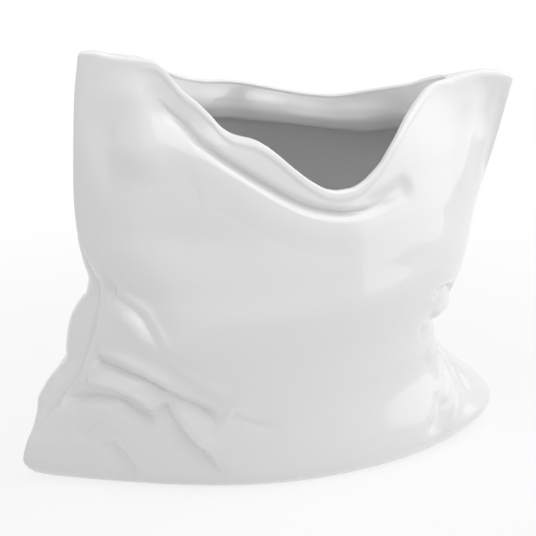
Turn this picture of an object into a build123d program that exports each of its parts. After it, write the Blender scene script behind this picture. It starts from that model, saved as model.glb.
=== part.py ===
from build123d import *
from math import cos, exp, hypot, pi, sqrt
import os

# Pillow vase in glazed porcelain: an upright pillow with four pinched corners, a drawn-in
# waist and a slumped mouth. The front faces -Y and the left side is at -X. The floor is at
# zero height, and all sizes are in millimetres.

# Overall sizes
half_width = 138.5  # middle of the foot to the tip of a bottom corner
height = 222.0  # floor to the tip of the taller top corner
front_depth = 63.0  # side seam to the fullest point of the front
back_depth = 60.0  # side seam to the fullest point of the back
seam_setback = 2.3  # how far the seams stand behind the middle of the vase's depth

# Clay
wall = 4.5  # panels
seam_half_thickness = 3.5  # half the thickness of a pinched side seam
seam_width = 8.0  # solid clay between a side seam and the hollow
least_gap = 1.2  # half width of the hollow where the panels come together
base_thickness = 6.0  # floor plate

# Foot
bare_ring_width = 7.0  # unglazed ring that the vase stands on
recess_depth = 1.5  # glazed hollow inside that ring

# Rolled hems round the mouth: the front one turns out over a groove, the back one turns in
front_hem_height = 15.0
front_hem_thickness = 8.5
front_hem_offset = 0.9  # from the middle of the wall out to the middle of the roll
back_hem_height = 17.0
back_hem_thickness = 9.5
back_hem_offset = -1.4
groove_depth = 1.8  # under the front hem
groove_width = 6.0
shoulder_lift = 1.4  # cloth that bulges again under the groove

# Folds
fold_lift = 4.2  # deepest fold
fold_width = 16.0  # half the width of the widest fold

# How squarely a curve ends at the seams: exponents, where 2 is an ellipse
seam_squareness = 12
hollow_squareness = 24
recess_squareness = 8
fold_squareness = 6  # folds die out towards the seams
steepest_lean = 2.0  # limit of the wall's growth along y where a panel turns away

# Resolution of the lofted forms
steps_across = 44  # stretches between the points of one section
steps_up = 40  # stretches between the sections of one panel
roll_steps = 18  # stretches between the sections of one hem
slope_step_share = 0.01  # step of the slope's measurement, as a share of the half width
rim_step_share = 0.03  # the same along a rim
overrun = 12.0  # extra length of cutting bodies

# Outline of the seams: share of the height, then share of the half width
left_seam_shares = [
    (0.00, -0.86), (0.02, -0.96), (0.055, -1.0), (0.095, -0.982), (0.14, -0.928),
    (0.19, -0.866), (0.235, -0.816), (0.28, -0.78), (0.335, -0.751), (0.405, -0.722),
    (0.47, -0.70), (0.525, -0.73), (0.585, -0.758), (0.675, -0.765), (0.79, -0.758),
    (0.90, -0.747), (1.0, -0.726), (1.1, -0.715),
]
right_seam_shares = [
    (0.00, 0.82), (0.02, 0.90), (0.05, 0.96), (0.09, 0.91), (0.135, 0.816),
    (0.19, 0.73), (0.235, 0.693), (0.28, 0.693), (0.325, 0.708), (0.38, 0.751),
    (0.45, 0.80), (0.565, 0.855), (0.675, 0.913), (0.79, 0.964), (0.89, 1.0), (1.1, 1.01),
]

# How far the seams wander forwards (negative) and back, as shares of the front depth
left_seam_drift_shares = [(0.0, 0.03), (0.2, -0.05), (0.3, -0.13), (0.43, -0.16), (0.52, -0.08),
                          (0.63, 0.0), (1.1, 0.0)]
right_seam_drift_shares = [(0.0, 0.03), (0.09, 0.09), (0.2, 0.16), (0.315, 0.09), (0.43, 0.03),
                           (0.585, 0.0), (1.1, 0.0)]

# Fullness of each panel over the height, as shares of its depth
front_depth_shares = [
    (0.0, 0.825), (0.022, 0.905), (0.068, 0.952), (0.18, 0.984), (0.36, 1.0), (0.495, 0.968),
    (0.61, 0.905), (0.70, 0.794), (0.79, 0.698), (0.855, 0.556), (0.923, 0.397), (1.0, 0.16),
    (1.1, 0.06),
]
back_depth_shares = [
    (0.0, 0.767), (0.022, 0.85), (0.068, 0.90), (0.18, 0.967), (0.38, 1.0), (0.52, 0.967),
    (0.63, 0.883), (0.743, 0.75), (0.84, 0.60), (0.914, 0.433), (0.968, 0.233), (1.1, 0.05),
]

# Exponent of a section's crown: low is boxy, high is a thin flap beside the seam
left_crown_shares = [(0.0, 1.1), (0.07, 1.1), (0.2, 0.75), (0.34, 0.55), (0.45, 0.6),
                     (0.585, 0.8), (0.765, 1.1), (0.9, 2.0), (1.0, 2.8), (1.1, 2.8)]
right_crown_shares = [(0.0, 0.6), (0.07, 0.62), (0.2, 0.58), (0.34, 0.55), (0.45, 0.65),
                      (0.585, 0.95), (0.72, 1.5), (0.8, 2.6), (0.87, 3.8), (1.1, 4.0)]

# The front's foot swells towards the right
front_skew_shares = [(0.0, 0.2), (0.07, 0.18), (0.225, 0.06), (0.4, 0.0), (1.1, 0.0)]

# Puffs of the panels that stand out past the drawn-in seam, as shares of the half width
left_back_puff_shares = [(0.0, 0.0), (0.09, 0.01), (0.16, 0.055), (0.225, 0.085), (0.29, 0.1),
                         (0.38, 0.112), (0.45, 0.088), (0.53, 0.03), (0.61, 0.0), (1.1, 0.0)]
right_back_puff_shares = [(0.0, 0.0), (0.135, 0.02), (0.27, 0.065), (0.38, 0.065), (0.5, 0.03),
                          (0.585, 0.0), (1.1, 0.0)]

# Top edges: share of the half width, then share of the height
front_rim_shares = [
    (-1.1, 1.0), (-0.72, 0.998), (-0.62, 0.989), (-0.53, 0.98), (-0.475, 0.966),
    (-0.43, 0.943), (-0.38, 0.909), (-0.32, 0.872), (-0.245, 0.845), (-0.16, 0.82),
    (-0.10, 0.793), (-0.036, 0.761), (0.02, 0.728), (0.08, 0.707), (0.137, 0.70),
    (0.195, 0.711), (0.255, 0.731), (0.32, 0.758), (0.383, 0.79), (0.448, 0.825),
    (0.52, 0.856), (0.585, 0.879), (0.657, 0.888), (0.76, 0.894), (0.85, 0.897),
    (0.93, 0.892), (1.1, 0.875),
]
back_rim_shares = [
    (-1.1, 1.0), (-0.72, 0.998), (-0.62, 0.989), (-0.53, 0.975), (-0.43, 0.95),
    (-0.325, 0.918), (-0.19, 0.896), (-0.05, 0.872), (0.166, 0.843), (0.375, 0.825),
    (0.49, 0.834), (0.585, 0.848), (0.67, 0.866), (0.76, 0.881), (0.85, 0.89),
    (0.93, 0.892), (1.1, 0.875),
]
# Extra solid clay beside each seam, where the top corners close into flaps
left_flap_shares = [(0.0, 0.0), (0.76, 0.0), (0.84, 0.04), (0.9, 0.11), (0.96, 0.155), (1.1, 0.17)]
right_flap_shares = [(0.0, 0.0), (0.64, 0.0), (0.72, 0.025), (0.8, 0.09), (0.87, 0.22),
                     (0.92, 0.28), (1.1, 0.3)]
mouth_left_share = -0.5  # ends of the opening, as shares of the half width
mouth_right_share = 0.66
# The hems run out into the flaps: share of the mouth's width, then share of the full roll
hem_taper_shares = [(0.0, 0.0), (0.1, 0.7), (0.22, 1.0), (0.84, 1.0), (0.93, 0.7), (1.0, 0.0)]
hem_end_share = 0.45  # height of a hem's end, as a share of its full height
shoulder_drop_share = 1.8  # from the rim down to the bulge, as a share of the hem's height

# Folds of the panels: start x, start height, end x, end height, sideways bend as a share of
# the fold's length, lift as a share of the deepest fold, width as a share of the widest
front_fold_shares = [
    (-0.76, 0.55, -0.42, 0.34, 0.03, 0.7, 0.7),
    (-0.86, 0.34, -0.26, 0.15, 0.12, -1.0, 0.65),
    (-0.80, 0.29, -0.36, 0.14, 0.12, 0.5, 0.7),
    (-0.92, 0.20, -0.50, 0.14, 0.2, -0.7, 0.55),
    (-0.58, 0.27, -0.28, 0.03, -0.05, -0.8, 0.6),
    (-0.42, 0.27, -0.04, 0.18, 0.08, -0.4, 0.7),
    (-0.54, 0.95, -0.32, 0.68, -0.22, -0.5, 0.6),
    (0.78, 0.44, 0.36, 0.35, 0.0, -0.7, 0.65),
    (0.84, 0.24, 0.44, 0.16, 0.1, -0.6, 0.7),
    (0.84, 0.88, 0.50, 0.58, -0.08, -0.5, 0.7),
]
back_fold_shares = [
    (-0.78, 0.43, -0.26, 0.30, 0.08, -0.8, 0.65),
    (-0.86, 0.27, -0.30, 0.12, 0.1, -0.8, 0.65),
    (-0.74, 0.48, -0.36, 0.60, -0.08, -0.5, 0.7),
    (0.74, 0.38, 0.20, 0.29, -0.08, -0.8, 0.65),
    (0.80, 0.26, 0.28, 0.10, -0.08, -0.7, 0.65),
    (0.72, 0.46, 0.30, 0.60, 0.08, -0.5, 0.7),
    (-0.34, 0.80, 0.14, 0.64, -0.1, -0.3, 0.9),
]


def follow(stations, at):
    """Value of a smooth curve through the stations that never overshoots them."""
    gaps = [b[0] - a[0] for a, b in zip(stations, stations[1:])]
    slopes = [(b[1] - a[1]) / gap for a, b, gap in zip(stations, stations[1:], gaps)]
    tangents = [slopes[0]]
    for before, after, gap, next_gap in zip(slopes, slopes[1:], gaps, gaps[1:]):
        if before * after <= 0:
            tangents.append(0.0)
        else:
            early = 2 * next_gap + gap
            late = next_gap + 2 * gap
            tangents.append((early + late) / (early / before + late / after))
    tangents.append(slopes[-1])
    at = min(max(at, stations[0][0]), stations[-1][0])
    span = 0
    while span < len(gaps) - 1 and at > stations[span + 1][0]:
        span += 1
    t = (at - stations[span][0]) / gaps[span]
    start = (2 * t**3 - 3 * t**2 + 1) * stations[span][1]
    leave = (t**3 - 2 * t**2 + t) * gaps[span] * tangents[span]
    end = (3 * t**2 - 2 * t**3) * stations[span + 1][1]
    arrive = (t**3 - t**2) * gaps[span] * tangents[span + 1]
    return start + leave + end + arrive


def puff(reach):
    """Swell that starts at a seam, is fullest at a third and has died out at one."""
    reach = min(reach, 1.0)
    return 27 / 4 * reach * (1 - reach) ** 2


def seam_line(along, level):
    """Place on the straight chord from the left seam, at 0, to the right seam, at 1."""
    share = level / height
    left = follow(left_seam_shares, share) * half_width
    right = follow(right_seam_shares, share) * half_width
    left_drift = follow(left_seam_drift_shares, share) * front_depth
    right_drift = follow(right_seam_drift_shares, share) * front_depth
    drift = left_drift + (right_drift - left_drift) * along
    return left + (right - left) * along, drift + seam_setback


def side_puff(across, level, side):
    """How far a panel's swell beside a seam moves a point sideways."""
    if side < 0:
        return 0.0
    share = level / height
    along = (across + 1) / 2
    left = puff(2 * sqrt(along)) * follow(left_back_puff_shares, share)
    right = puff(2 * sqrt(1 - along)) * follow(right_back_puff_shares, share)
    return (right - left) * half_width


def fold_height(x, level, side):
    """Lift of the folds at a place on a panel, in the front view."""
    lift = 0.0
    for fold in front_fold_shares if side < 0 else back_fold_shares:
        start_x, start_level = fold[0] * half_width, fold[1] * height
        run, rise = fold[2] * half_width - start_x, fold[3] * height - start_level
        length = hypot(run, rise)
        ahead = ((x - start_x) * run + (level - start_level) * rise) / length**2
        if 0 < ahead < 1:
            aside = ((level - start_level) * run - (x - start_x) * rise) / length
            fade = 4 * ahead * (1 - ahead)
            aside -= fold[4] * length * fade
            lift += fold[5] * fold_lift * sqrt(fade) * exp(-((aside / (fold[6] * fold_width)) ** 2))
    return lift


def hem_fullness(x):
    """How much of its full roll a hem has above a place on the floor."""
    return follow(hem_taper_shares, (x - mouth_left) / (mouth_right - mouth_left))


def groove_height(x, level, side):
    """Groove under the front hem, and the bulge of the cloth below it."""
    if side > 0:
        return 0.0
    drop = rim_level(front_rim_shares, x) - level
    groove = groove_depth * exp(-(((drop - front_hem_height) / groove_width) ** 2))
    bulge_drop = shoulder_drop_share * front_hem_height
    bulge = shoulder_lift * exp(-(((drop - bulge_drop) / front_hem_height * 2) ** 2))
    return (bulge - groove) * hem_fullness(x)


def fullness(across, level, side):
    """How far a panel without its relief stands off the chord between its seams."""
    share = level / height
    along = (across + 1) / 2
    depth = follow(back_depth_shares, share) * back_depth
    if side < 0:
        depth = follow(front_depth_shares, share) * front_depth
        depth *= 1 + follow(front_skew_shares, share) * across
    blend = along * along * (3 - 2 * along)
    crown = follow(left_crown_shares, share) * (1 - blend)
    crown += follow(right_crown_shares, share) * blend
    edge = seam_half_thickness * sqrt(max(0.0, 1 - across**seam_squareness))
    return edge + (depth - seam_half_thickness) * (1 - across * across) ** crown


def swell(across, level, side):
    """How far a panel with its folds and groove stands off the chord between its seams."""
    x = seam_line((across + 1) / 2, level)[0] + side_puff(across, level, side)
    relief = fold_height(x, level, side) + groove_height(x, level, side)
    return fullness(across, level, side) + relief * (1 - across**fold_squareness)


def outer_point(across, level, side):
    """Point of the outer face: across runs from -1 to 1, side is -1 in front and 1 behind."""
    x, y = seam_line((across + 1) / 2, level)
    return x + side_puff(across, level, side), y + side * swell(across, level, side)


def inner_point(across, level, side):
    """Point of the hollow's face, one wall inside the outer face."""
    share = level / height
    chord = seam_line(1, level)[0] - seam_line(0, level)[0]
    start = seam_width + follow(left_flap_shares, share) * half_width
    end = chord - seam_width - follow(right_flap_shares, share) * half_width
    outer_across = (start + end + (end - start) * across) / chord - 1
    x, y = seam_line((outer_across + 1) / 2, level)
    nudge = slope_step_share
    rise = swell(outer_across + nudge, level, side) - swell(outer_across - nudge, level, side)
    lean = min(hypot(1, rise / (nudge * chord)), steepest_lean)
    room = swell(outer_across, level, side) - wall * lean
    room = (room + hypot(room, 2 * least_gap)) / 2
    room *= sqrt(max(0.0, 1 - across**hollow_squareness))
    return x + side_puff(across, level, side), y + side * room


def recess_point(across, level, side):
    """Point of the outline of the hollow under the foot, a ring's width inside the foot."""
    chord = seam_line(1, level)[0] - seam_line(0, level)[0]
    outer_across = across * (1 - 4 * bare_ring_width / chord)
    x, y = seam_line((outer_across + 1) / 2, level)
    room = (swell(outer_across, level, side) - bare_ring_width) * sqrt(1 - across**recess_squareness)
    return x, y + side * room


def half_section(point, level, side):
    """Spline edge of one half of a section, from the left seam to the right seam."""
    turns = [step / steps_across for step in range(steps_across + 1)]
    points = [point(-cos(pi * turn), level, side) for turn in turns]
    return Edge.make_spline([Vector(*place) for place in points], parameters=turns)


def rim_level(rim_shares, x):
    """Height of a top edge above a place on the floor."""
    return follow(rim_shares, x / half_width) * height


def tapered(hem_height, x):
    """Height of a hem above a place on the floor."""
    return hem_height * (hem_end_share + (1 - hem_end_share) * hem_fullness(x))


def rim_points(rim_shares, start, end, hem_height):
    """Points along a top edge in the front view, or along the middle of its hem."""
    places = [start + (end - start) * step / steps_across for step in range(steps_across + 1)]
    return [(x, rim_level(rim_shares, x) - tapered(hem_height, x) / 2) for x in places]


def across_at(x, level, side):
    """Place between the seams, from -1 to 1, of a point with this x."""
    low, high = -1.0, 1.0
    while high - low > 1 / 2**16:
        middle = (low + high) / 2
        if outer_point(middle, level, side)[0] < x:
            low = middle
        else:
            high = middle
    return (low + high) / 2


def mid_wall(x, level, side):
    """Point in the middle of a panel's wall, without its relief."""
    across = across_at(x, level, side)
    depth = fullness(across, level, side) - wall / 2
    return Vector(x, seam_line((across + 1) / 2, level)[1] + side * depth, level)


def hem_plane(x, rim_shares, side, hem_height, hem_offset):
    """Plane across the hem: its normal runs along the rim, its X points out of the vase."""
    step = half_width * rim_step_share
    here = mid_wall(x, rim_level(rim_shares, x), side)
    before = mid_wall(x - step, rim_level(rim_shares, x - step), side)
    after = mid_wall(x + step, rim_level(rim_shares, x + step), side)
    below = mid_wall(x, rim_level(rim_shares, x) - hem_height, side)
    along = (after - before).normalized()
    out = (here - below).cross(along).normalized() * -side
    down = along.cross(out).normalized()
    if down.Z > 0:
        down = -down
    centre = here + down * tapered(hem_height, x) / 2 + out * hem_offset * hem_fullness(x)
    return Plane(origin=centre, x_dir=out, z_dir=along)


top_level = height + overrun / 2
level_step = (top_level - base_thickness) / steps_up
panel_levels = [base_thickness + level_step * step for step in range(steps_up + 1)]
base_levels = [0, base_thickness / 3, base_thickness]
mouth_left = mouth_left_share * half_width
mouth_right = mouth_right_share * half_width
depth_span = 2 * (front_depth + back_depth)
cutting_plane = Plane.XZ.offset(depth_span / 2)
sky = height + overrun
far = half_width + overrun


def hem_sections(rim_shares, side, hem_height, hem_thickness, hem_offset):
    """Slots across the roll along one lip of the mouth, from the left end to the right."""
    sections = []
    for step in range(roll_steps + 1):
        x = mouth_left + (mouth_right - mouth_left) * step / roll_steps
        thickness = wall + (hem_thickness - wall) * hem_fullness(x)
        with BuildSketch(hem_plane(x, rim_shares, side, hem_height, hem_offset)) as slot:
            SlotOverall(tapered(hem_height, x), thickness, rotation=90)
        sections.append(slot.sketch)
    return sections


def panel_sections(side):
    """Level cuts through one panel, each from the left seam to the right seam."""
    sections = []
    for level in panel_levels:
        with BuildSketch(Plane.XY.offset(level)) as section:
            with BuildLine():
                outside = half_section(outer_point, level, side)
                inside = half_section(inner_point, level, side)
                add([outside, inside])
                Line(outside @ 0, inside @ 0)
                Line(outside @ 1, inside @ 1)
            make_face()
        sections.append(section.sketch)
    return sections


def above_rim(rim_shares, start, end, hem_height):
    """Body that fills the space above a stretch of a top edge, down to the middle of its hem."""
    with BuildPart() as waste:
        with BuildSketch(cutting_plane):
            with BuildLine():
                edge = Spline(*rim_points(rim_shares, start, end, hem_height))
                Polyline(edge @ 1, (end, sky), (start, sky), edge @ 0)
            make_face()
        extrude(amount=-depth_span)
    return waste.part


front_hem_sections = hem_sections(
    front_rim_shares, -1, front_hem_height, front_hem_thickness, front_hem_offset)
with BuildPart() as front_hem:
    loft(front_hem_sections)
front_hem.part.label = "front_hem"

back_hem_sections = hem_sections(
    back_rim_shares, 1, back_hem_height, back_hem_thickness, back_hem_offset)
with BuildPart() as back_hem:
    loft(back_hem_sections)
    add(front_hem.part, mode=Mode.SUBTRACT)
back_hem.part.label = "back_hem"

# Each panel is cut to its top edge and then, under its hem, down to the middle of the roll
front_panel_sections = panel_sections(-1)
front_waste = above_rim(front_rim_shares, -far, far, 0)
front_hem_waste = above_rim(front_rim_shares, mouth_left, mouth_right, front_hem_height)
with BuildPart() as front_panel:
    loft(front_panel_sections)
    add(front_waste, mode=Mode.SUBTRACT)
    add(front_hem_waste, mode=Mode.SUBTRACT)
    add(front_hem.part, mode=Mode.SUBTRACT)
    add(back_hem.part, mode=Mode.SUBTRACT)
front_panel.part.label = "front_panel"

back_panel_sections = panel_sections(1)
back_waste = above_rim(back_rim_shares, -far, far, 0)
back_hem_waste = above_rim(back_rim_shares, mouth_left, mouth_right, back_hem_height)
with BuildPart() as back_panel:
    loft(back_panel_sections)
    add(back_waste, mode=Mode.SUBTRACT)
    add(back_hem_waste, mode=Mode.SUBTRACT)
    add(front_hem.part, mode=Mode.SUBTRACT)
    add(back_hem.part, mode=Mode.SUBTRACT)
back_panel.part.label = "back_panel"

# Floor plate, cut flat where the panels stand on it, with a bare ring underneath
with BuildPart() as base_slab:
    for level in base_levels:
        with BuildSketch(Plane.XY.offset(level)):
            with BuildLine():
                add(half_section(outer_point, level, -1))
                add(half_section(outer_point, level, 1))
            make_face()
    loft()
    with BuildSketch(Plane.XY):
        with BuildLine():
            add(half_section(recess_point, 0, -1))
            add(half_section(recess_point, 0, 1))
        make_face()
    extrude(amount=recess_depth, mode=Mode.SUBTRACT)
base_slab.part.label = "base_slab"

os.makedirs("parts", exist_ok=True)
export_step(front_panel.part, "parts/front_panel.step")
export_step(back_panel.part, "parts/back_panel.step")
export_step(front_hem.part, "parts/front_hem.step")
export_step(back_hem.part, "parts/back_hem.step")
export_step(base_slab.part, "parts/base_slab.step")
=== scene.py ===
from math import cos, pi, radians, sin

import bmesh
import bpy
import numpy as np
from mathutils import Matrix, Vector


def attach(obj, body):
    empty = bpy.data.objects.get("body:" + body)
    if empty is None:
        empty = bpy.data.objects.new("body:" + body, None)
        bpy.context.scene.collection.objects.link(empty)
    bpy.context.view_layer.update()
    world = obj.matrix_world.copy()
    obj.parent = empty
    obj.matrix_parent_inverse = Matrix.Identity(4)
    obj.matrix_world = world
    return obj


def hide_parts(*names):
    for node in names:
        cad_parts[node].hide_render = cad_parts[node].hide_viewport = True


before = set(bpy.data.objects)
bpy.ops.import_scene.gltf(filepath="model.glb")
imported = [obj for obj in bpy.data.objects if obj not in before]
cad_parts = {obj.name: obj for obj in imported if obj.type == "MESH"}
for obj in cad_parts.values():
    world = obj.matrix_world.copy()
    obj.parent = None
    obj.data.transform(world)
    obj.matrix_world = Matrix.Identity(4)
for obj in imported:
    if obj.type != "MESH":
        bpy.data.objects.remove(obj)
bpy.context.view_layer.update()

mm = 0.001
print("frame loaded,", len(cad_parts), "nodes")


# Smooth curve through stations that never overshoots them
def follow(stations, at):
    x = np.array([station[0] for station in stations], float)
    y = np.array([station[1] for station in stations], float)
    gap = np.diff(x)
    slope = np.diff(y) / gap
    tangent = np.zeros(len(x))
    tangent[0], tangent[-1] = slope[0], slope[-1]
    for i in range(1, len(x) - 1):
        if slope[i - 1] * slope[i] > 0:
            early = 2 * gap[i] + gap[i - 1]
            late = gap[i] + 2 * gap[i - 1]
            tangent[i] = (early + late) / (early / slope[i - 1] + late / slope[i])
    at = np.clip(np.asarray(at, float), x[0], x[-1])
    i = np.clip(np.searchsorted(x, at, side="right") - 1, 0, len(gap) - 1)
    t = (at - x[i]) / gap[i]
    start = (2 * t**3 - 3 * t**2 + 1) * y[i] + (t**3 - 2 * t**2 + t) * gap[i] * tangent[i]
    end = (3 * t**2 - 2 * t**3) * y[i + 1] + (t**3 - t**2) * gap[i] * tangent[i + 1]
    return start + end


def ease(low, high, value):
    t = np.clip((value - low) / (high - low), 0, 1)
    return t * t * (3 - 2 * t)


# Top edge over the two closed corners, which both panels share: shares of the half width and
# of the height
leftPeak = [(-1.1, 0.9), (-0.745, 0.955), (-0.732, 0.982), (-0.715, 0.996), (-0.68, 0.998),
            (-0.62, 0.99)]
rightPeak = [(0.70, 0.882), (0.76, 0.887), (0.85, 0.891), (0.89, 0.889), (0.93, 0.885),
             (0.955, 0.88), (0.98, 0.872), (0.994, 0.86), (1.005, 0.84), (1.1, 0.8)]

# The pillow: sizes in metres, and tables by the share of the height. Seams, puffs and flaps are
# shares of the half width, drifts of the front depth, fullness of each panel's own depth, and
# a crown is a power. The two rims give the edge's height by the place across.
pillow = {
    "halfWidth": 138.5 * mm,
    "height": 222 * mm,
    "frontDepth": 62.9 * mm,
    "backDepth": 60 * mm,
    "seamSetback": 2.3 * mm,
    "seamHalfThickness": 3.5 * mm,
    "seamSquareness": 12,
    "wall": 4.5 * mm,
    "seamWidth": 8 * mm,
    "leastGap": 1.2 * mm,
    "floor": 6 * mm,
    "hollowSquareness": 24,
    "leftSeam": [
        (0.00, -0.86), (0.02, -0.96), (0.055, -0.999), (0.095, -0.982), (0.14, -0.928),
        (0.19, -0.866), (0.235, -0.816), (0.28, -0.78), (0.335, -0.751), (0.405, -0.722),
        (0.47, -0.70), (0.525, -0.73), (0.585, -0.758), (0.675, -0.765), (0.79, -0.758),
        (0.90, -0.747), (1.0, -0.726), (1.1, -0.715)],
    "rightSeam": [
        (0.00, 0.82), (0.02, 0.90), (0.05, 0.96), (0.09, 0.91), (0.135, 0.816),
        (0.19, 0.73), (0.235, 0.693), (0.28, 0.693), (0.325, 0.708), (0.38, 0.751),
        (0.45, 0.80), (0.565, 0.855), (0.675, 0.913), (0.79, 0.964), (0.89, 1.0), (1.1, 1.01)],
    "leftDrift": [(0.0, 0.03), (0.2, -0.05), (0.3, -0.13), (0.43, -0.16), (0.52, -0.08),
                  (0.63, 0.0), (1.1, 0.0)],
    "rightDrift": [(0.0, 0.03), (0.09, 0.09), (0.2, 0.16), (0.315, 0.09), (0.43, 0.03),
                   (0.585, 0.0), (1.1, 0.0)],
    "frontFullness": [
        (0.0, 0.825), (0.022, 0.905), (0.068, 0.952), (0.18, 0.984), (0.36, 1.0),
        (0.495, 0.968), (0.61, 0.905), (0.70, 0.794), (0.79, 0.698), (0.855, 0.556),
        (0.923, 0.397), (1.0, 0.16), (1.1, 0.06)],
    "backFullness": [
        (0.0, 0.767), (0.022, 0.85), (0.068, 0.90), (0.18, 0.967), (0.38, 1.0), (0.52, 0.967),
        (0.63, 0.883), (0.743, 0.75), (0.84, 0.60), (0.914, 0.433), (0.968, 0.233), (1.1, 0.05)],
    "leftCrown": [(0.0, 1.1), (0.07, 1.1), (0.2, 0.75), (0.34, 0.55), (0.45, 0.6),
                  (0.585, 0.8), (0.765, 1.1), (0.9, 2.0), (1.0, 2.8), (1.1, 2.8)],
    "rightCrown": [(0.0, 0.6), (0.07, 0.62), (0.2, 0.58), (0.34, 0.55), (0.45, 0.65),
                   (0.585, 0.95), (0.72, 1.5), (0.8, 2.6), (0.87, 3.8), (1.1, 4.0)],
    "frontSkew": [(0.0, 0.2), (0.07, 0.18), (0.225, 0.06), (0.4, 0.0), (1.1, 0.0)],
    "leftBackPuff": [(0.0, 0.0), (0.09, 0.012), (0.16, 0.06), (0.205, 0.098), (0.235, 0.1),
                     (0.265, 0.084), (0.3, 0.08), (0.38, 0.09), (0.43, 0.07), (0.48, 0.042),
                     (0.53, 0.026), (0.61, 0.0), (1.1, 0.0)],
    "rightBackPuff": [(0.0, 0.0), (0.135, 0.02), (0.27, 0.065), (0.38, 0.065), (0.5, 0.03),
                      (0.585, 0.0), (1.1, 0.0)],
    "leftFlap": [(0.0, 0.0), (0.76, 0.0), (0.84, 0.04), (0.9, 0.11), (0.96, 0.155), (1.1, 0.17)],
    "rightFlap": [(0.0, 0.0), (0.64, 0.0), (0.72, 0.025), (0.8, 0.09), (0.87, 0.22),
                  (0.92, 0.28), (1.1, 0.3)],
    "frontRim": leftPeak + [
        (-0.53, 0.982), (-0.49, 0.977), (-0.46, 0.969), (-0.43, 0.95), (-0.386, 0.911),
        (-0.335, 0.882), (-0.299, 0.857), (-0.272, 0.834), (-0.241, 0.821), (-0.173, 0.809),
        (-0.137, 0.796), (-0.102, 0.778), (-0.067, 0.757), (-0.027, 0.735), (0.011, 0.717),
        (0.066, 0.699), (0.107, 0.695), (0.151, 0.696), (0.203, 0.706), (0.258, 0.727),
        (0.286, 0.7395), (0.329, 0.765), (0.368, 0.786), (0.405, 0.8055), (0.44, 0.822),
        (0.48, 0.8365), (0.521, 0.851), (0.564, 0.866), (0.628, 0.878)] + rightPeak,
    "backRim": leftPeak + [
        (-0.53, 0.98), (-0.49, 0.971), (-0.433, 0.952), (-0.381, 0.932), (-0.311, 0.914),
        (-0.218, 0.899), (-0.15, 0.893), (-0.082, 0.885), (0.026, 0.866), (0.134, 0.847),
        (0.230, 0.834), (0.322, 0.828), (0.38, 0.832), (0.427, 0.839), (0.514, 0.851),
        (0.595, 0.862), (0.645, 0.874)] + rightPeak,
}


# Bulge that peaks at 1 a third of the way along its reach
def puff(reach):
    reach = np.minimum(reach, 1.0)
    return 27 / 4 * reach * (1 - reach) ** 2


# Place on the chord from the left seam, at 0, to the right seam, at 1
def seamLine(along, level):
    share = level / pillow["height"]
    left = follow(pillow["leftSeam"], share) * pillow["halfWidth"]
    right = follow(pillow["rightSeam"], share) * pillow["halfWidth"]
    leftDrift = follow(pillow["leftDrift"], share) * pillow["frontDepth"]
    rightDrift = follow(pillow["rightDrift"], share) * pillow["frontDepth"]
    drift = leftDrift + (rightDrift - leftDrift) * along
    return left + (right - left) * along, drift + pillow["seamSetback"]


# The back panel bulges past both seams; the front panel doesn't
def sidePuff(across, level, side):
    if side < 0:
        return np.zeros_like(across * level)
    share = level / pillow["height"]
    along = (across + 1) / 2
    left = puff(2 * np.sqrt(along)) * follow(pillow["leftBackPuff"], share)
    right = puff(2 * np.sqrt(1 - along)) * follow(pillow["rightBackPuff"], share)
    return (right - left) * pillow["halfWidth"]


# How far a panel stands off the chord between its seams
def swell(across, level, side):
    share = level / pillow["height"]
    along = (across + 1) / 2
    depth = follow(pillow["backFullness"], share) * pillow["backDepth"]
    if side < 0:
        depth = follow(pillow["frontFullness"], share) * pillow["frontDepth"]
        depth = depth * (1 + follow(pillow["frontSkew"], share) * across)
    blend = along * along * (3 - 2 * along)
    crown = follow(pillow["leftCrown"], share) * (1 - blend)
    crown = crown + follow(pillow["rightCrown"], share) * blend
    thick = pillow["seamHalfThickness"]
    edge = thick * np.sqrt(np.maximum(0, 1 - across ** pillow["seamSquareness"]))
    return edge + (depth - thick) * np.maximum(0, 1 - across * across) ** crown


def outerPlace(across, level, side):
    across, level = np.broadcast_arrays(np.asarray(across, float), np.asarray(level, float))
    x, y = seamLine((across + 1) / 2, level)
    x = x + sidePuff(across, level, side)
    return np.stack([x, y + side * swell(across, level, side), level], -1)


def rimLevel(x, side):
    table = pillow["frontRim"] if side < 0 else pillow["backRim"]
    return follow(table, x / pillow["halfWidth"]) * pillow["height"]


# Ends of the hollow at a height: the seam and, in the corners, the flap stay solid
def hollowEnds(level):
    share = level / pillow["height"]
    left = seamLine(0.0, level)[0] + pillow["seamWidth"]
    right = seamLine(1.0, level)[0] - pillow["seamWidth"]
    left = left + follow(pillow["leftFlap"], share) * pillow["halfWidth"]
    return left, right - follow(pillow["rightFlap"], share) * pillow["halfWidth"]


mesh = {
    "flapColumns": (96, 84),  # left and right of the mouth
    "mouthColumns": 220,
    "rows": 300,
    "rimCrowding": 0.8,  # below 1 the rows gather at the rim
    "seamCrowding": 0.9,  # power of the spacing of the flaps' columns, which gather at the seams
    "capRows": 8,
    "edgeRows": 5,  # top rows of the outer face that give the lip's direction
    "lipThickness": 3.8 * mm,
    "flapBlend": 12 * mm,  # to both sides of the mouth's end the lip turns into a closed flap
    "openBlend": 9 * mm,  # inside the mouth's end the two rims part over this width
    "innerRows": 110,
    "hemDepth": 26 * mm,  # the inner rows stand closer down to here
    "hemRowShare": 0.45,  # and this share of them lies there
    "endDepth": 40 * mm,  # down to here the ends of the hollow move out from the mouth's ends
    "footLift": 0.6 * mm,  # where the glaze stops above the table
    "floorRows": 24,
    "nudge": 0.01,  # small step across, for slopes
    "steepest": 2.0,  # limit of the lean that a wall's thickness makes up for
    "searchStart": 0.9,  # share of the height where the search for the rim starts
    "searchTurns": 80,
    "weld": 0.02 * mm,
}


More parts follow.
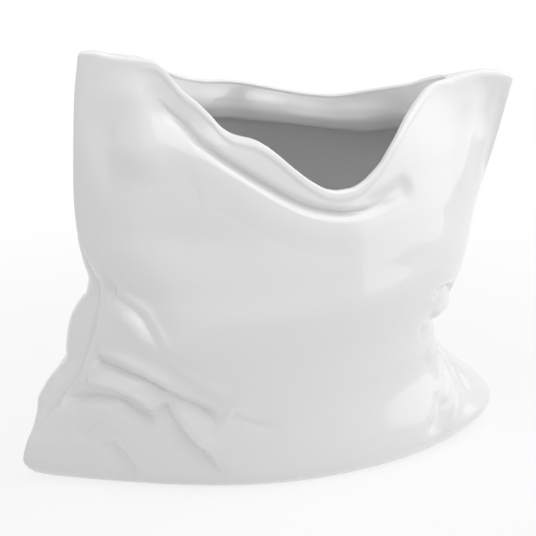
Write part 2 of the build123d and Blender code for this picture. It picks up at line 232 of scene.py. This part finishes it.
# Height at which a line up the panel meets the rim; xAt gives the line's x at a height
def meetRim(xAt, level, side):
    for turn in range(mesh["searchTurns"]):
        level = level + 0.5 * (rimLevel(xAt(level), side) - level)
    return level


# End of the mouth, 0 for the left and 1 for the right: its x, and its place across
def mouthEnd(end):
    start = mesh["searchStart"] * pillow["height"]
    level = meetRim(lambda height: hollowEnds(height)[end], start, -1)
    x = hollowEnds(level)[end]
    left, right = seamLine(0.0, level)[0], seamLine(1.0, level)[0]
    return float(x), float(2 * (x - left) / (right - left) - 1)


# Places of the mesh's columns across, from -1 at the left seam to 1 at the right seam: each
# column keeps its place all the way up
(mouthLeft, mouthStart), (mouthRight, mouthStop) = mouthEnd(0), mouthEnd(1)
leftCount, rightCount = mesh["flapColumns"]
leftTurn = np.linspace(0, 1, leftCount, endpoint=False)
leftColumns = -1 + (mouthStart + 1) * (1 - np.cos(leftTurn * pi / 2)) ** mesh["seamCrowding"]
mouthColumns = np.linspace(mouthStart, mouthStop, mesh["mouthColumns"])
rightTurn = np.linspace(0, 1, rightCount + 1)[1:]
rightColumns = mouthStop + (1 - mouthStop) * np.sin(rightTurn * pi / 2) ** mesh["seamCrowding"]
columns = np.concatenate([leftColumns, mouthColumns, rightColumns])
mouth = slice(leftCount, leftCount + mesh["mouthColumns"])
print("columns", len(columns))


def columnTops(side):
    start = np.full(len(columns), mesh["searchStart"] * pillow["height"])
    return meetRim(lambda height: outerPlace(columns, height, side)[:, 0], start, side)


# Where the flaps are closed, openness is 0 and both panels have the shared rim
rims = {side: columnTops(side) for side in (-1, 1)}
sharedRim = (rims[-1] + rims[1]) / 2
sharedX = outerPlace(columns, sharedRim, -1)[:, 0]
pastEnd = np.maximum(mouthLeft - sharedX, sharedX - mouthRight)
openness = 1 - ease(-mesh["openBlend"], 0, pastEnd)
openness[:mouth.start + 1] = 0
openness[mouth.stop - 1:] = 0
closing = ease(-mesh["flapBlend"], mesh["flapBlend"], pastEnd)


# Half of the clay behind each column: of the lip, or of both panels where they are closed
def edgeRadius():
    turn = np.clip(2 * (sharedX - mouthLeft) / (mouthRight - mouthLeft) - 1, -1, 1)
    hollow = np.sqrt(1 - turn ** pillow["hollowSquareness"]) * (openness > 0)
    closed = (swell(columns, sharedRim, -1) + swell(columns, sharedRim, 1)) / 2
    return (closed * (1 - hollow) + mesh["lipThickness"] * hollow) / 2


# The outer face ends at its brink, below the rim by the height of the rounded edge
def brinkLevels(side):
    top = sharedRim + (rims[side] - sharedRim) * openness
    return top - edgeHalf * (1 + closing)


edgeHalf = edgeRadius()
brinks = {side: brinkLevels(side) for side in (-1, 1)}


def outerGrid(side):
    rise = np.linspace(0, 1, mesh["rows"]) ** mesh["rimCrowding"]
    level = mesh["footLift"] + (brinks[side][None, :] - mesh["footLift"]) * rise[:, None]
    return outerPlace(columns[None, :], level, side)


def gridNormals(grid, side):
    alongRow = np.gradient(grid, axis=1)
    alongColumn = np.gradient(grid, axis=0)
    normal = np.cross(alongRow, alongColumn) * -side
    return normal / np.maximum(np.linalg.norm(normal, axis=-1, keepdims=True), 1e-12)


# Folds: points on the panel as shares of the half width and of the height, lift in
# millimetres (a valley is negative), width to the upper and to the lower side in millimetres,
# power of the profile (2 is soft, nearer to 1 is a crease), and the shares of the fold's
# length over which it fades in and out
folds = {
    "seamHold": {-1: 120, 1: 300},  # the higher, the nearer to the seam the folds start
    "routePlaces": 40,
    "searchTurns": 30,
    "cutoff": 5.5,  # power of e at which a fold's lift counts as nothing
    "front": [
        # the waist on the left: a crest out of the pinched seam and the pocket under it
        ([(-0.695, 0.47), (-0.663, 0.46), (-0.615, 0.437), (-0.597, 0.414), (-0.573, 0.383),
          (-0.55, 0.355)], -3.8, 2.4, 11, 1.4, (0.03, 0.4)),
        ([(-0.682, 0.488), (-0.649, 0.474), (-0.593, 0.451), (-0.574, 0.425), (-0.547, 0.389),
          (-0.526, 0.36)], 1.6, 6, 2.2, 1.5, (0.1, 0.35)),
        ([(-0.69, 0.42), (-0.657, 0.421), (-0.63, 0.402), (-0.58, 0.372)],
         1.0, 3, 5, 1.5, (0.3, 0.3)),
        ([(-0.70, 0.368), (-0.654, 0.363), (-0.565, 0.341), (-0.488, 0.305), (-0.437, 0.275),
          (-0.357, 0.255), (-0.268, 0.243)], -2.8, 6, 5, 2, (0.35, 0.35)),
        # the upper valley with the roll of cloth over it
        ([(-0.746, 0.336), (-0.707, 0.34), (-0.654, 0.33), (-0.597, 0.31), (-0.55, 0.29),
          (-0.49, 0.262), (-0.43, 0.237)], 2.6, 6, 2.6, 1.5, (0.06, 0.35)),
        ([(-0.756, 0.316), (-0.722, 0.312), (-0.68, 0.303), (-0.62, 0.287), (-0.565, 0.265),
          (-0.505, 0.242), (-0.45, 0.223), (-0.40, 0.202), (-0.355, 0.17)],
         -6.0, 2.8, 6.5, 1.3, (0.03, 0.15)),
        # the lower valley with its own roll
        ([(-0.783, 0.262), (-0.745, 0.27), (-0.70, 0.27), (-0.65, 0.261), (-0.60, 0.235),
          (-0.567, 0.208)], 3.4, 4, 3.4, 1.4, (0.12, 0.2)),
        ([(-0.839, 0.213), (-0.81, 0.222), (-0.76, 0.233), (-0.715, 0.235), (-0.68, 0.227),
          (-0.64, 0.209), (-0.60, 0.194), (-0.565, 0.187)], -5.0, 3.4, 5.5, 1.3, (0.03, 0.2)),
        ([(-0.82, 0.186), (-0.744, 0.203), (-0.673, 0.187), (-0.597, 0.155)],
         1.6, 5, 8, 2, (0.3, 0.3)),
        # the long valley down to the foot, and what lies beside it
        ([(-0.572, 0.243), (-0.555, 0.231), (-0.535, 0.21), (-0.516, 0.185), (-0.49, 0.153),
          (-0.455, 0.121), (-0.41, 0.093), (-0.36, 0.057), (-0.30, 0.03)],
         -5.2, 5, 3.4, 1.5, (0.2, 0.25)),
        ([(-0.53, 0.235), (-0.49, 0.202), (-0.452, 0.169), (-0.407, 0.135), (-0.334, 0.10)],
         2.4, 5, 5, 2, (0.2, 0.3)),
        ([(-0.335, 0.21), (-0.276, 0.192), (-0.20, 0.172), (-0.104, 0.155)],
         -2.6, 3.6, 5, 1.6, (0.2, 0.45)),
        ([(-0.73, 0.14), (-0.701, 0.105), (-0.668, 0.075), (-0.635, 0.03)],
         -3.2, 5, 4, 1.8, (0.25, 0.1)),
        ([(-0.837, 0.124), (-0.79, 0.148), (-0.746, 0.172), (-0.692, 0.17)],
         -1.6, 4, 4, 1.4, (0.3, 0.3)),
        # the flap at the top left
        ([(-0.52, 0.955), (-0.535, 0.88), (-0.55, 0.80), (-0.53, 0.71)],
         3.0, 11, 11, 2, (0.3, 0.3)),
        ([(-0.475, 0.955), (-0.475, 0.90), (-0.44, 0.862), (-0.38, 0.826), (-0.30, 0.79)],
         -2.6, 7, 9, 2, (0.25, 0.35)),
        ([(-0.66, 0.90), (-0.655, 0.78), (-0.66, 0.66)], -1.4, 7, 7, 2, (0.4, 0.4)),
        # the waist on the right: two pinches out of the seam
        ([(0.70, 0.372), (0.64, 0.398), (0.58, 0.41), (0.535, 0.408), (0.51, 0.39)],
         -3.6, 3, 4.5, 1.4, (0.1, 0.35)),
        ([(0.68, 0.345), (0.62, 0.352), (0.555, 0.352), (0.52, 0.34)], 2.4, 4, 4, 2, (0.2, 0.3)),
        ([(0.695, 0.275), (0.63, 0.288), (0.56, 0.302), (0.50, 0.312), (0.465, 0.30)],
         -3.4, 4.5, 3, 1.4, (0.1, 0.3)),
        ([(0.68, 0.215), (0.60, 0.222), (0.54, 0.21)], 1.8, 4, 5, 1.6, (0.15, 0.4)),
        # creases of the corner on the right
        ([(0.63, 0.215), (0.665, 0.175), (0.675, 0.13), (0.64, 0.085), (0.57, 0.04)],
         2.2, 5, 5, 1.6, (0.2, 0.3)),
        ([(0.60, 0.15), (0.575, 0.11), (0.53, 0.075), (0.48, 0.05)], -2.6, 4, 6, 1.6, (0.3, 0.4)),
        ([(0.74, 0.17), (0.765, 0.13), (0.76, 0.09)], -1.6, 4, 4, 1.6, (0.3, 0.3)),
        # the flap at the top right
        ([(0.95, 0.87), (0.93, 0.78), (0.90, 0.68), (0.86, 0.60)], -1.6, 5, 7, 2, (0.3, 0.3)),
        ([(0.80, 0.88), (0.78, 0.80), (0.72, 0.70), (0.62, 0.62)], 1.4, 8, 8, 2, (0.3, 0.3)),
        # the soft valley that the groove runs out into
        ([(0.10, 0.654), (0.218, 0.656), (0.306, 0.665), (0.369, 0.677), (0.425, 0.695)],
         -2.6, 7, 5, 2, (0.45, 0.25)),
        # broad swells of the belly
        ([(-0.60, 0.66), (-0.40, 0.60), (-0.15, 0.60)], -2.2, 16, 14, 2, (0.4, 0.4)),
        ([(0.10, 0.58), (0.35, 0.50), (0.60, 0.50)], -1.2, 16, 16, 2, (0.4, 0.4)),
    ],
    "back": [
        ([(-0.74, 0.44), (-0.60, 0.42), (-0.44, 0.36), (-0.28, 0.31)], -3.2, 7, 6, 2, (0.3, 0.3)),
        ([(-0.72, 0.38), (-0.56, 0.34), (-0.38, 0.27)], 2.2, 7, 7, 2, (0.35, 0.35)),
        ([(-0.84, 0.26), (-0.66, 0.24), (-0.48, 0.18), (-0.32, 0.10)], -3.0, 6, 6, 2, (0.3, 0.3)),
        ([(-0.70, 0.50), (-0.55, 0.56), (-0.38, 0.60)], -2.0, 8, 8, 2, (0.4, 0.4)),
        ([(0.70, 0.38), (0.52, 0.36), (0.36, 0.31), (0.22, 0.28)], -3.2, 6, 7, 2, (0.3, 0.3)),
        ([(0.72, 0.32), (0.52, 0.29), (0.34, 0.22)], 2.2, 7, 7, 2, (0.35, 0.35)),
        ([(0.78, 0.24), (0.60, 0.20), (0.42, 0.12), (0.30, 0.06)], -3.0, 6, 6, 2, (0.3, 0.3)),
        ([(0.70, 0.46), (0.54, 0.52), (0.36, 0.58)], -2.0, 8, 8, 2, (0.4, 0.4)),
        ([(-0.34, 0.80), (-0.12, 0.70), (0.14, 0.64)], -1.4, 14, 14, 2, (0.4, 0.4)),
        # creases of the strip that shows beside the left seam
        ([(-0.84, 0.285), (-0.80, 0.298), (-0.765, 0.309)], -2.4, 3, 4, 1.2, (0.05, 0.05)),
        ([(-0.89, 0.203), (-0.868, 0.209), (-0.845, 0.211)], -2.4, 3, 4, 1.2, (0.05, 0.05)),
        ([(-0.76, 0.465), (-0.73, 0.44), (-0.715, 0.41)], -1.2, 3, 3, 1.3, (0.1, 0.2)),
    ],
}


# Distance to a polyline, place along it from 0 to 1, and side: positive above it
def besideRoute(place, out, route):
    best = np.full(len(place), np.inf)
    along, hand = np.zeros(len(place)), np.ones(len(place))
    count = len(route) - 1
    for i in range(count):
        step = route[i + 1] - route[i]
        share = np.clip((place - route[i]) @ step / (step @ step), 0, 1)
        offset = place - route[i] - share[:, None] * step
        distance = np.linalg.norm(offset, axis=1)
        closer = distance < best
        best = np.where(closer, distance, best)
        along = np.where(closer, (i + share) / count, along)
        turn = (np.cross(step, out) * offset).sum(1)
        hand = np.where(closer, turn, hand)
    return best, along, np.sign(hand)


def foldLift(grid, normal, side):
    lift = np.zeros(grid.shape[:2])
    for points, height, above, below, power, fade in folds["front" if side < 0 else "back"]:
        route = foldRoute(points, side)
        reach = folds["cutoff"] ** (1 / power) * max(above, below) * mm
        near = np.ones(lift.shape, bool)
        for axis in range(3):
            low, high = route[:, axis].min() - reach, route[:, axis].max() + reach
            near &= (grid[..., axis] > low) & (grid[..., axis] < high)
        if not near.any():
            continue
        distance, along, hand = besideRoute(grid[near], normal[near], route)
        width = np.where(hand * -side > 0, above, below) * mm
        ends = ease(0, fade[0], along) * ease(0, fade[1], 1 - along)
        lift[near] += height * mm * ends * np.exp(-((distance / width) ** power))
    return lift


# Places on the panel along a fold, found by halving the span across until x fits
def foldRoute(points, side):
    points = np.array(points, float)
    turns = np.linspace(0, len(points) - 1, folds["routePlaces"])
    stations = np.arange(len(points))
    x = follow(list(zip(stations, points[:, 0])), turns) * pillow["halfWidth"]
    level = follow(list(zip(stations, points[:, 1])), turns) * pillow["height"]
    low, high = np.full(len(x), -1.0), np.full(len(x), 1.0)
    for turn in range(folds["searchTurns"]):
        middle = (low + high) / 2
        left = outerPlace(middle, level, side)[:, 0] < x
        low, high = np.where(left, middle, low), np.where(left, high, middle)
    return outerPlace(low, level, side)


# The two hems: the front one is relief on the outer face over a groove, and the back one is a
# roll of the inner face; places are shares of the half width
hem = {
    # height of the groove under the front hem, as a share of the height, by the place
    "groove": [(-0.50, 0.91), (-0.46, 0.885), (-0.438, 0.871), (-0.387, 0.842), (-0.353, 0.814),
               (-0.298, 0.783), (-0.227, 0.751), (-0.151, 0.720), (-0.076, 0.692),
               (-0.016, 0.674), (0.066, 0.659), (0.134, 0.652), (0.198, 0.651), (0.269, 0.657),
               (0.346, 0.666), (0.413, 0.676), (0.5, 0.69)],
    "strength": [(-0.475, 0), (-0.44, 0.3), (-0.40, 0.6), (-0.34, 1), (0.08, 1), (0.16, 0.7),
                 (0.24, 0.3), (0.33, 0.0)],
    # lift of the front panel by the distance above the groove, in millimetres
    "relief": [(-22, 0), (-11, 0.9), (-6.5, 0.7), (-3, -1.2), (-1.2, -3.2), (-0.2, -3.5),
               (0.8, -0.6), (1.9, 0.4), (4, 0.5), (9, 0.4), (18, 0.3)],
    # lift by the distance below the edge, in millimetres, and its strength by the place
    "lip": [(0, 0.5), (1.5, 0.7), (4, 0.0), (9, 0.0)],
    "backLipShare": 0.5,
    "lipStrength": [(-0.54, 0), (-0.46, 0.8), (-0.4, 1), (0.5, 1), (0.62, 0)],
    # depth of the back hem inside the mouth by the place along it, in millimetres
    "backDepth": [(-0.5, 12), (-0.36, 17.5), (-0.2, 18.5), (-0.05, 19), (0.2, 17.8),
                  (0.35, 18.6), (0.47, 21.5), (0.57, 22), (0.66, 16)],
    # clay inside the outer face in millimetres: front by the distance below the edge in
    # millimetres, back as a share of the hem's depth
    "frontRoll": [(0, 3.6), (4, 4.6), (9, 6.0), (12.5, 6.2), (14.5, 4.5), (20, 4.5)],
    "backRoll": [(0, 4.0), (0.12, 5.6), (0.4, 9.5), (0.7, 12.2), (0.88, 12.6), (0.97, 10.8),
                 (1.03, 4.5), (2, 4.5)],
    # slow unevenness of the back roll, as a share of its clay: waves and where they start,
    # and the clay's thickness in millimetres over which they come in
    "backLumps": 0.035,
    "lumpWaves": ((19, 0), (31, 1)),
    "lumpsFrom": (4.5, 9),
}


def hemLift(grid, brink, side):
    share = grid[..., 0] / pillow["halfWidth"]
    drop = (brink[None, :] - grid[..., 2]) / mm
    lip = follow(hem["lip"], drop) * follow(hem["lipStrength"], share)
    if side > 0:
        return lip * hem["backLipShare"] * mm
    nudge = mesh["nudge"]
    slope = follow(hem["groove"], share + nudge) - follow(hem["groove"], share - nudge)
    slope = slope * pillow["height"] / (2 * nudge * pillow["halfWidth"])
    above = (grid[..., 2] - follow(hem["groove"], share) * pillow["height"]) / np.hypot(1, slope)
    relief = follow(hem["relief"], above / mm) * follow(hem["strength"], share)
    return (relief + lip) * mm


# Inner face behind x at a height: how far it stands off the chord, and the chord's depth there
def innerRoom(x, level, side, thickness):
    left, right = seamLine(0.0, level)[0], seamLine(1.0, level)[0]
    outerAcross = np.clip(2 * (x - left) / (right - left) - 1, -1, 1)
    nudge = mesh["nudge"]
    rise = swell(np.clip(outerAcross + nudge, -1, 1), level, side)
    rise = rise - swell(np.clip(outerAcross - nudge, -1, 1), level, side)
    lean = np.minimum(np.hypot(1, rise / (nudge * (right - left))), mesh["steepest"])
    outside = outerPlace(outerAcross, level, side)
    lift = foldLift(outside, gridNormals(outside, side), side)
    room = swell(outerAcross, level, side) + (lift - thickness) * lean
    room = (room + np.hypot(room, 2 * pillow["leastGap"])) / 2
    return room, seamLine((outerAcross + 1) / 2, level)[1]


def innerGrid(side):
    top = outerPlace(columns, brinks[side], side)[mouth]
    along = (top[:, 0] - top[0, 0]) / (top[-1, 0] - top[0, 0])
    fall = np.linspace(0, 1, mesh["innerRows"])[:, None]
    depth = top[None, :, 2] - pillow["floor"]
    hemPart = mesh["hemRowShare"]
    deep = np.maximum(fall - hemPart, 0) / (1 - hemPart)
    level = top[None, :, 2] - np.minimum(fall / hemPart, 1) * mesh["hemDepth"]
    level = level - deep * (depth - mesh["hemDepth"])
    drop = (top[None, :, 2] - level) / mm
    ends, topEnds = hollowEnds(level), hollowEnds(top[:, 2])
    meeting = 1 - ease(0, mesh["endDepth"] / mm, drop)
    left = ends[0] + (top[0, 0] - topEnds[0]) * meeting
    right = ends[1] + (top[-1, 0] - topEnds[1]) * meeting
    x = left + (right - left) * along[None, :]
    if side < 0:
        thickness = follow(hem["frontRoll"], drop)
    else:
        share = x / pillow["halfWidth"]
        thickness = follow(hem["backRoll"], drop / follow(hem["backDepth"], share))
        lumps = sum(np.sin(share * pace + start) for pace, start in hem["lumpWaves"])
        lumps = lumps * ease(*hem["lumpsFrom"], thickness)
        thickness = thickness * (1 + hem["backLumps"] * lumps)
    room, y = innerRoom(x, level, side, thickness * mm)
    turn = 2 * along - 1
    room = room * np.sqrt(np.maximum(0, 1 - turn ** pillow["hollowSquareness"]))[None, :]
    return np.stack([x, y + side * room, level], -1)


# Rounded edge from the outer face's top to the lip's inner face, or over a closed flap
def cap(outer, inner, side):
    top, below = outer[-1], outer[-1 - mesh["edgeRows"]]
    up = (top - below) / np.linalg.norm(top - below, axis=-1, keepdims=True)
    up = up * openness[:, None] + np.array([0, 0, 1]) * (1 - openness[:, None])
    goal = outerPlace(columns, brinks[side], -1)
    goal[:, 1] = seamLine((columns + 1) / 2, brinks[side])[1]
    goal[mouth] = inner[0]
    half = (goal - top) / 2
    count = mesh["capRows"]
    rows = []
    for row in range(1, count + 1):
        angle = pi * row / count
        lip = edgeHalf * sin(angle)
        flap = 2 * edgeHalf * np.sqrt(max(0.0, 1 - ((1 + cos(angle)) / 2) ** 2))
        rise = lip + (flap - lip) * closing
        rows.append(top + half * (1 - cos(angle)) + up * rise[:, None])
    return np.array(rows)


def gridFaces(start, tall, wide, flip):
    faces = []
    for j in range(tall - 1):
        for i in range(wide - 1):
            a = start + j * wide + i
            quad = (a, a + 1, a + wide + 1, a + wide)
            faces.append(quad[::-1] if flip else quad)
    return faces


# Level surface between the two panels' rows
def bridge(rows):
    share = np.linspace(0, 1, mesh["floorRows"])[:, None, None]
    return rows[-1][None] * (1 - share) + rows[1][None] * share


def buildBody():
    places, faces = [], []

    def addGrid(grid, flip):
        start = sum(len(part) for part in places)
        places.append(grid.reshape(-1, 3))
        faces.extend(gridFaces(start, grid.shape[0], grid.shape[1], flip))

    bottoms, floors = {}, {}
    for side in (-1, 1):
        outer = outerGrid(side)
        normal = gridNormals(outer, side)
        lift = foldLift(outer, normal, side) + hemLift(outer, brinks[side], side)
        lift = lift * (1 - columns[None, :] ** folds["seamHold"][side])
        outer = outer + normal * lift[..., None]
        inner = innerGrid(side)
        edge = cap(outer, inner, side)
        inner[0] = edge[-1, mouth]  # the lip and the hollow meet exactly
        addGrid(np.concatenate([outer, edge]), side > 0)
        addGrid(inner, side < 0)
        bottoms[side], floors[side] = outer[0], inner[-1]
    addGrid(bridge(bottoms), True)
    addGrid(bridge(floors), False)
    return np.concatenate(places), faces


def meshPiece(name, places, faces):
    data = bpy.data.meshes.new(name)
    data.from_pydata([tuple(place) for place in places], [], faces)
    piece = bpy.data.objects.new(name, data)
    bpy.context.scene.collection.objects.link(piece)
    return piece


def weld(piece):
    shape = bmesh.new()
    shape.from_mesh(piece.data)
    bmesh.ops.remove_doubles(shape, verts=shape.verts, dist=mesh["weld"])
    bmesh.ops.dissolve_degenerate(shape, edges=shape.edges, dist=mesh["weld"])
    bmesh.ops.recalc_face_normals(shape, faces=shape.faces)
    opened = sum(1 for edge in shape.edges if len(edge.link_faces) != 2)
    counts = len(shape.verts), "points,", len(shape.faces), "faces,", opened, "open edges"
    print(piece.name, *counts)
    shape.to_mesh(piece.data)
    shape.free()
    for face in piece.data.polygons:
        face.use_smooth = True


body = meshPiece("glazed_body", *buildBody())
weld(body)
print("body built")


# Foot ring of bare porcelain: inset from the outline and height of each loop, in millimetres
foot = {
    "columns": 160,
    "section": [(0.3, 1.6), (0.1, 0.9), (0.3, 0.25), (0.9, 0.0), (6.4, 0.0), (7.0, 0.5),
                (7.2, 1.6)],
    "steepest": 2.5,  # limit of the outline's slope that the inset makes up for
    "spare": 1.05,
    "trials": 2001,  # places tried for the loop's two ends
    "squareness": 16,
}


def footLoop(inset, level):
    turns = -np.cos(np.linspace(0, pi, foot["columns"]))
    rounding = np.sqrt(np.maximum(0, 1 - turns ** foot["squareness"]))
    reach = np.linspace(-1, 1, foot["trials"])
    room = np.minimum(swell(reach, level, -1), swell(reach, level, 1))
    first, last = reach[room >= foot["spare"] * foot["steepest"] * inset][[0, -1]]
    inward = first + (last - first) * (turns + 1) / 2
    x, middle = seamLine((inward + 1) / 2, level)
    halves = []
    for side in (-1, 1):
        depth = swell(inward, level, side)
        lean = np.minimum(np.hypot(1, np.gradient(depth, x)), foot["steepest"])
        depth = np.maximum(depth - inset * lean, 0) * rounding
        half = np.stack([x, middle + side * depth, np.full(len(x), level)], -1)
        halves.append(half if side < 0 else half[::-1][1:-1])
    return np.concatenate(halves)


def footRing():
    loops = [footLoop(inset * mm, level * mm) for inset, level in foot["section"]]
    count = len(loops[0])
    rings = []
    for j in range(len(loops)):
        k = (j + 1) % len(loops)
        for i in range(count):
            n = (i + 1) % count
            rings.append((j * count + i, j * count + n, k * count + n, k * count + i))
    return np.concatenate(loops), rings


ring = meshPiece("foot_ring", *footRing())
weld(ring)
print("foot built")


# One small wrapper for shader sockets: sums and products add Math nodes
class Wire:
    def __init__(self, tree, socket=None):
        self.tree = tree
        self.socket = socket

    def node(self, kind, settings=None, inputs=None, output=0):
        made = self.tree.nodes.new(kind)
        for name, value in (settings or {}).items():
            setattr(made, name, value)
        for key, value in (inputs or {}).items():
            if isinstance(value, Wire):
                self.tree.links.new(value.socket, made.inputs[key])
            else:
                made.inputs[key].default_value = value
        return Wire(self.tree, made.outputs[output]) if made.outputs else made

    def calculate(self, operation, first, second):
        return self.node("ShaderNodeMath", {"operation": operation}, {0: first, 1: second})

    def __add__(self, other):
        return self.calculate("ADD", self, other)

    def __sub__(self, other):
        return self.calculate("SUBTRACT", self, other)

    def __rsub__(self, other):
        return self.calculate("SUBTRACT", other, self)

    def __mul__(self, other):
        return self.calculate("MULTIPLY", self, other)

    __radd__ = __add__
    __rmul__ = __mul__


def newMaterial(name):
    material = bpy.data.materials.new(name)
    material.use_nodes = True
    material.node_tree.nodes.clear()
    return material, Wire(material.node_tree)


# Cloudy change between a finish's two colours; the cloud is the share of the second
def clouded(wire, place, finish):
    scale, detail = finish["cloud"]
    cloud = wire.node("ShaderNodeTexNoise", {}, {"Vector": place, "Scale": scale, "Detail": detail})
    first, second = finish["colours"]
    colour = wire.node("ShaderNodeMix", {"data_type": "RGBA"},
                       {"Factor": cloud, "A": first, "B": second}, output="Result")
    return cloud, colour


# Fine relief from a finish's noise scale, detail, height and strength
def fineRelief(wire, place, finish):
    scale, detail, height, strength = finish["relief"]
    noise = wire.node("ShaderNodeTexNoise", {}, {"Vector": place, "Scale": scale, "Detail": detail})
    return wire.node("ShaderNodeBump", {}, {
        "Strength": strength, "Distance": height, "Height": noise})


glaze = {
    "colours": ((0.93, 0.935, 0.93, 1), (0.91, 0.918, 0.914, 1)),  # thin and pooled glaze
    "cloud": (14.0, 3.0),
    "relief": (45.0, 1.0, 1.0 * mm, 0.06),  # slight unevenness of a poured glaze
    "roughness": 0.28,
    "coatRoughness": 0.02,
    "coatIor": 1.5,
}


def glazeMaterial():
    material, wire = newMaterial("white glaze")
    place = wire.node("ShaderNodeTexCoord", output="Object")
    cloud, colour = clouded(wire, place, glaze)
    uneven = fineRelief(wire, place, glaze)
    surface = wire.node("ShaderNodeBsdfPrincipled", {}, {
        "Base Color": colour, "Roughness": glaze["roughness"], "Coat Weight": 1.0,
        "Coat Roughness": glaze["coatRoughness"], "Coat IOR": glaze["coatIor"],
        "Normal": uneven, "Coat Normal": uneven})
    wire.node("ShaderNodeOutputMaterial", {}, {"Surface": surface})
    return material


bare = {
    "colours": ((0.80, 0.775, 0.73, 1), (0.70, 0.67, 0.62, 1)),  # clean and worn
    "cloud": (60.0, 5.0),
    "relief": (1800.0, 2.0, 0.1 * mm, 0.2),
    "roughness": (0.5, 0.7),
}


def bareMaterial():
    material, wire = newMaterial("bare porcelain")
    place = wire.node("ShaderNodeTexCoord", output="Object")
    patches, colour = clouded(wire, place, bare)
    smooth, rough = bare["roughness"]
    surface = wire.node("ShaderNodeBsdfPrincipled", {}, {
        "Base Color": colour, "Roughness": patches * (rough - smooth) + smooth,
        "Normal": fineRelief(wire, place, bare)})
    wire.node("ShaderNodeOutputMaterial", {}, {"Surface": surface})
    return material


body.data.materials.append(glazeMaterial())
ring.data.materials.append(bareMaterial())

for piece in (body, ring):
    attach(piece, "root")
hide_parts("front_panel", "back_panel", "front_hem", "back_hem")
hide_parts("base_slab")


# Camera in front, to the left and above: turn and rise in degrees, distance in metres
camera = {
    "target": (-3.8 * mm, 2.3 * mm, 100.5 * mm),
    "turn": 21.0,
    "rise": 19.0,
    "distance": 0.75,
    "lens": 95.7,
    "nearest": 0.01,
}


def placeCamera():
    turn, rise = radians(camera["turn"]), radians(camera["rise"])
    back = Vector((-sin(turn) * cos(rise), -cos(turn) * cos(rise), sin(rise)))
    lens = bpy.data.cameras.new("camera")
    lens.lens = camera["lens"]
    lens.clip_start = camera["nearest"]
    eye = bpy.data.objects.new("camera", lens)
    eye.location = Vector(camera["target"]) + back * camera["distance"]
    eye.rotation_euler = back.to_track_quat("Z", "Y").to_euler()
    bpy.context.scene.collection.objects.link(eye)
    bpy.context.scene.camera = eye


placeCamera()
print("camera placed")

studio = {
    "floorSize": 6.0,
    "floorColour": (0.95, 0.95, 0.95, 1),
    "floorGlow": 0.82,  # share of plain white near the vase; the rest takes its shadow
    "fade": (0.16, 0.5),  # distances from the middle over which it turns plain white
    "ambient": 0.305,
    "aim": (0, 0, 0.1),
    # softboxes: direction round from the front towards the right, and up, in degrees, then
    # distance, width and height in metres, and watts
    "boxes": [
        (68, 17, 1.3, 1.2, 0.8, 2.5),
        (88, 50, 1.4, 1.2, 1.0, 3.8),
        (-80, 42, 1.2, 0.8, 0.9, 0.9),
        (5, 76, 1.2, 1.2, 1.0, 4.4),
        (-15, 34, 2.0, 3.2, 2.4, 4.0),
    ],
}


def lampAt(turn, rise, distance, width, height, watts):
    turn, rise = radians(turn), radians(rise)
    place = Vector((cos(rise) * sin(turn), -cos(rise) * cos(turn), sin(rise))) * distance
    light = bpy.data.lights.new("softbox", "AREA")
    light.shape = "RECTANGLE"
    light.size, light.size_y = width, height
    light.energy = watts
    lamp = bpy.data.objects.new("softbox", light)
    lamp.location = place
    back = place - Vector(studio["aim"])
    lamp.rotation_euler = back.to_track_quat("Z", "Y").to_euler()
    bpy.context.scene.collection.objects.link(lamp)


for box in studio["boxes"]:
    lampAt(*box)


# 1 for what the camera sees itself, in a reflection or through glass, 0 for light on the vase
def seenDirectly(wire):
    rays = [wire.node("ShaderNodeLightPath", output=name)
            for name in ("Is Camera Ray", "Is Glossy Ray", "Is Transmission Ray")]
    return wire.node("ShaderNodeMath", {"operation": "ADD", "use_clamp": True},
                     {0: rays[0] + rays[1], 1: rays[2]})


def buildFloor():
    half = studio["floorSize"] / 2
    corners = [(-half, -half, 0), (half, -half, 0), (half, half, 0), (-half, half, 0)]
    floor = meshPiece("floor", corners, [(0, 1, 2, 3)])
    material, wire = newMaterial("pale floor")
    place = wire.node("ShaderNodeNewGeometry", output="Position")
    distance = wire.node("ShaderNodeVectorMath", {"operation": "LENGTH"}, {0: place},
                         output="Value")
    near, plain = studio["fade"]
    far = wire.node("ShaderNodeMapRange", {"interpolation_type": "SMOOTHSTEP"},
                    {"Value": distance, "From Min": near, "From Max": plain})
    matte = wire.node("ShaderNodeBsdfDiffuse", {}, {"Color": studio["floorColour"]})
    white = wire.node("ShaderNodeEmission", {}, {"Color": (1, 1, 1, 1), "Strength": 1.0})
    glow = far + (1 - far) * studio["floorGlow"]
    mixed = wire.node("ShaderNodeMixShader", {},
                      {0: glow * seenDirectly(wire), 1: matte, 2: white})
    wire.node("ShaderNodeOutputMaterial", {}, {"Surface": mixed})
    floor.data.materials.append(material)


def buildWorld():
    world = bpy.data.worlds.new("studio")
    world.use_nodes = True
    world.node_tree.nodes.clear()
    wire = Wire(world.node_tree)
    seen = seenDirectly(wire)
    strength = seen + (1 - seen) * studio["ambient"]
    glow = wire.node("ShaderNodeBackground", {},
                     {"Color": (1, 1, 1, 1), "Strength": strength})
    wire.node("ShaderNodeOutputWorld", {}, {"Surface": glow})
    bpy.context.scene.world = world


buildFloor()
buildWorld()
bpy.context.scene.view_settings.view_transform = "Standard"
print("studio built")
